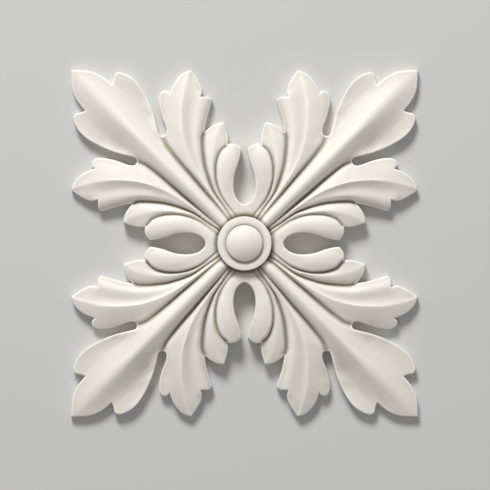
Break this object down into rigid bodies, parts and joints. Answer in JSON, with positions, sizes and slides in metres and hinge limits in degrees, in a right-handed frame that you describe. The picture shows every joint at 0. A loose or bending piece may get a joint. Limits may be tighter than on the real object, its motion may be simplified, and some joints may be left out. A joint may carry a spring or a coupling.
{
  "type": "stucco ornament",
  "caption": "Square cast stucco ornament with acanthus leaves on its diagonals round a boss of ring and dome, flat at the back for gluing to a wall or ceiling.",
  "frame": {"origin": "middle of the flat back", "axes": "+Z out of the back through the relief; +X and +Y along two sides of the square that the leaf tips touch"},
  "size_m": [0.2, 0.2, 0.0237],
  "materials": {
    "stucco": "matt cast plaster with a faint satin bloom"
  },
  "bodies": {
    "root": {"stucco_ornament": "stucco"}
  },
  "joints": []
}
